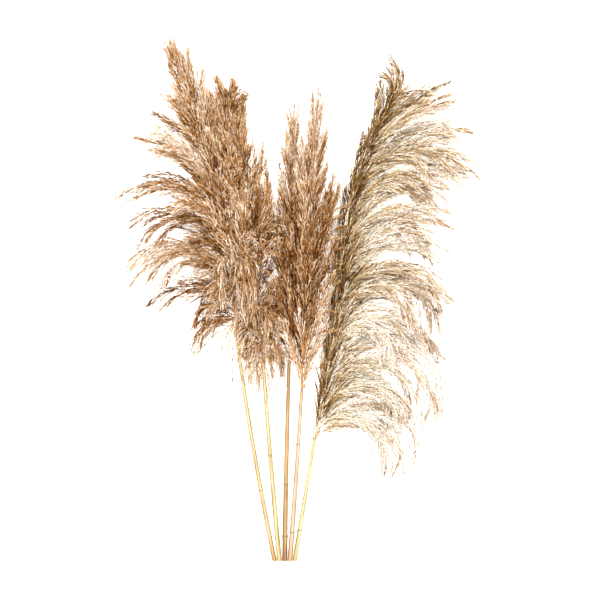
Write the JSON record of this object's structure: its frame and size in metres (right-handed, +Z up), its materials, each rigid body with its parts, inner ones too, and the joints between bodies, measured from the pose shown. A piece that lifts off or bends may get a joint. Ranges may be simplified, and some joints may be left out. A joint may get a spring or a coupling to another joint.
{
  "type": "bundle of dried feather grass",
  "caption": "Loose cut bunch of dried feather grass lying fanned out: straw-like culms set close at the cut ends, each with a long feathery head.",
  "frame": {"origin": "on the surface that the bunch lies on, under the middle of its bounding box", "axes": "+Y along the stalks from the cut ends to the heads, +Z up from the surface, +X to the right as seen from above with the heads away"},
  "size_m": [0.7324, 1.046, 0.1388],
  "materials": {
    "straw_yellow": "smooth dry straw, faintly glossy",
    "straw_tan": "smooth dry straw, faintly glossy",
    "straw_green": "smooth dry straw, faintly glossy",
    "chaff_brown": "matt dry husks with fine hairs",
    "chaff_cream": "matt dry husks with fine hairs"
  },
  "bodies": {
    "root": {"culm_1": "straw_yellow", "culm_2": "straw_yellow", "culm_3": "straw_tan", "culm_4": "straw_tan", "culm_5": "straw_green", "plume_1": "chaff_brown", "plume_2": "chaff_brown", "plume_3": "chaff_brown", "plume_4": "chaff_brown", "plume_5": "chaff_cream"}
  },
  "joints": []
}
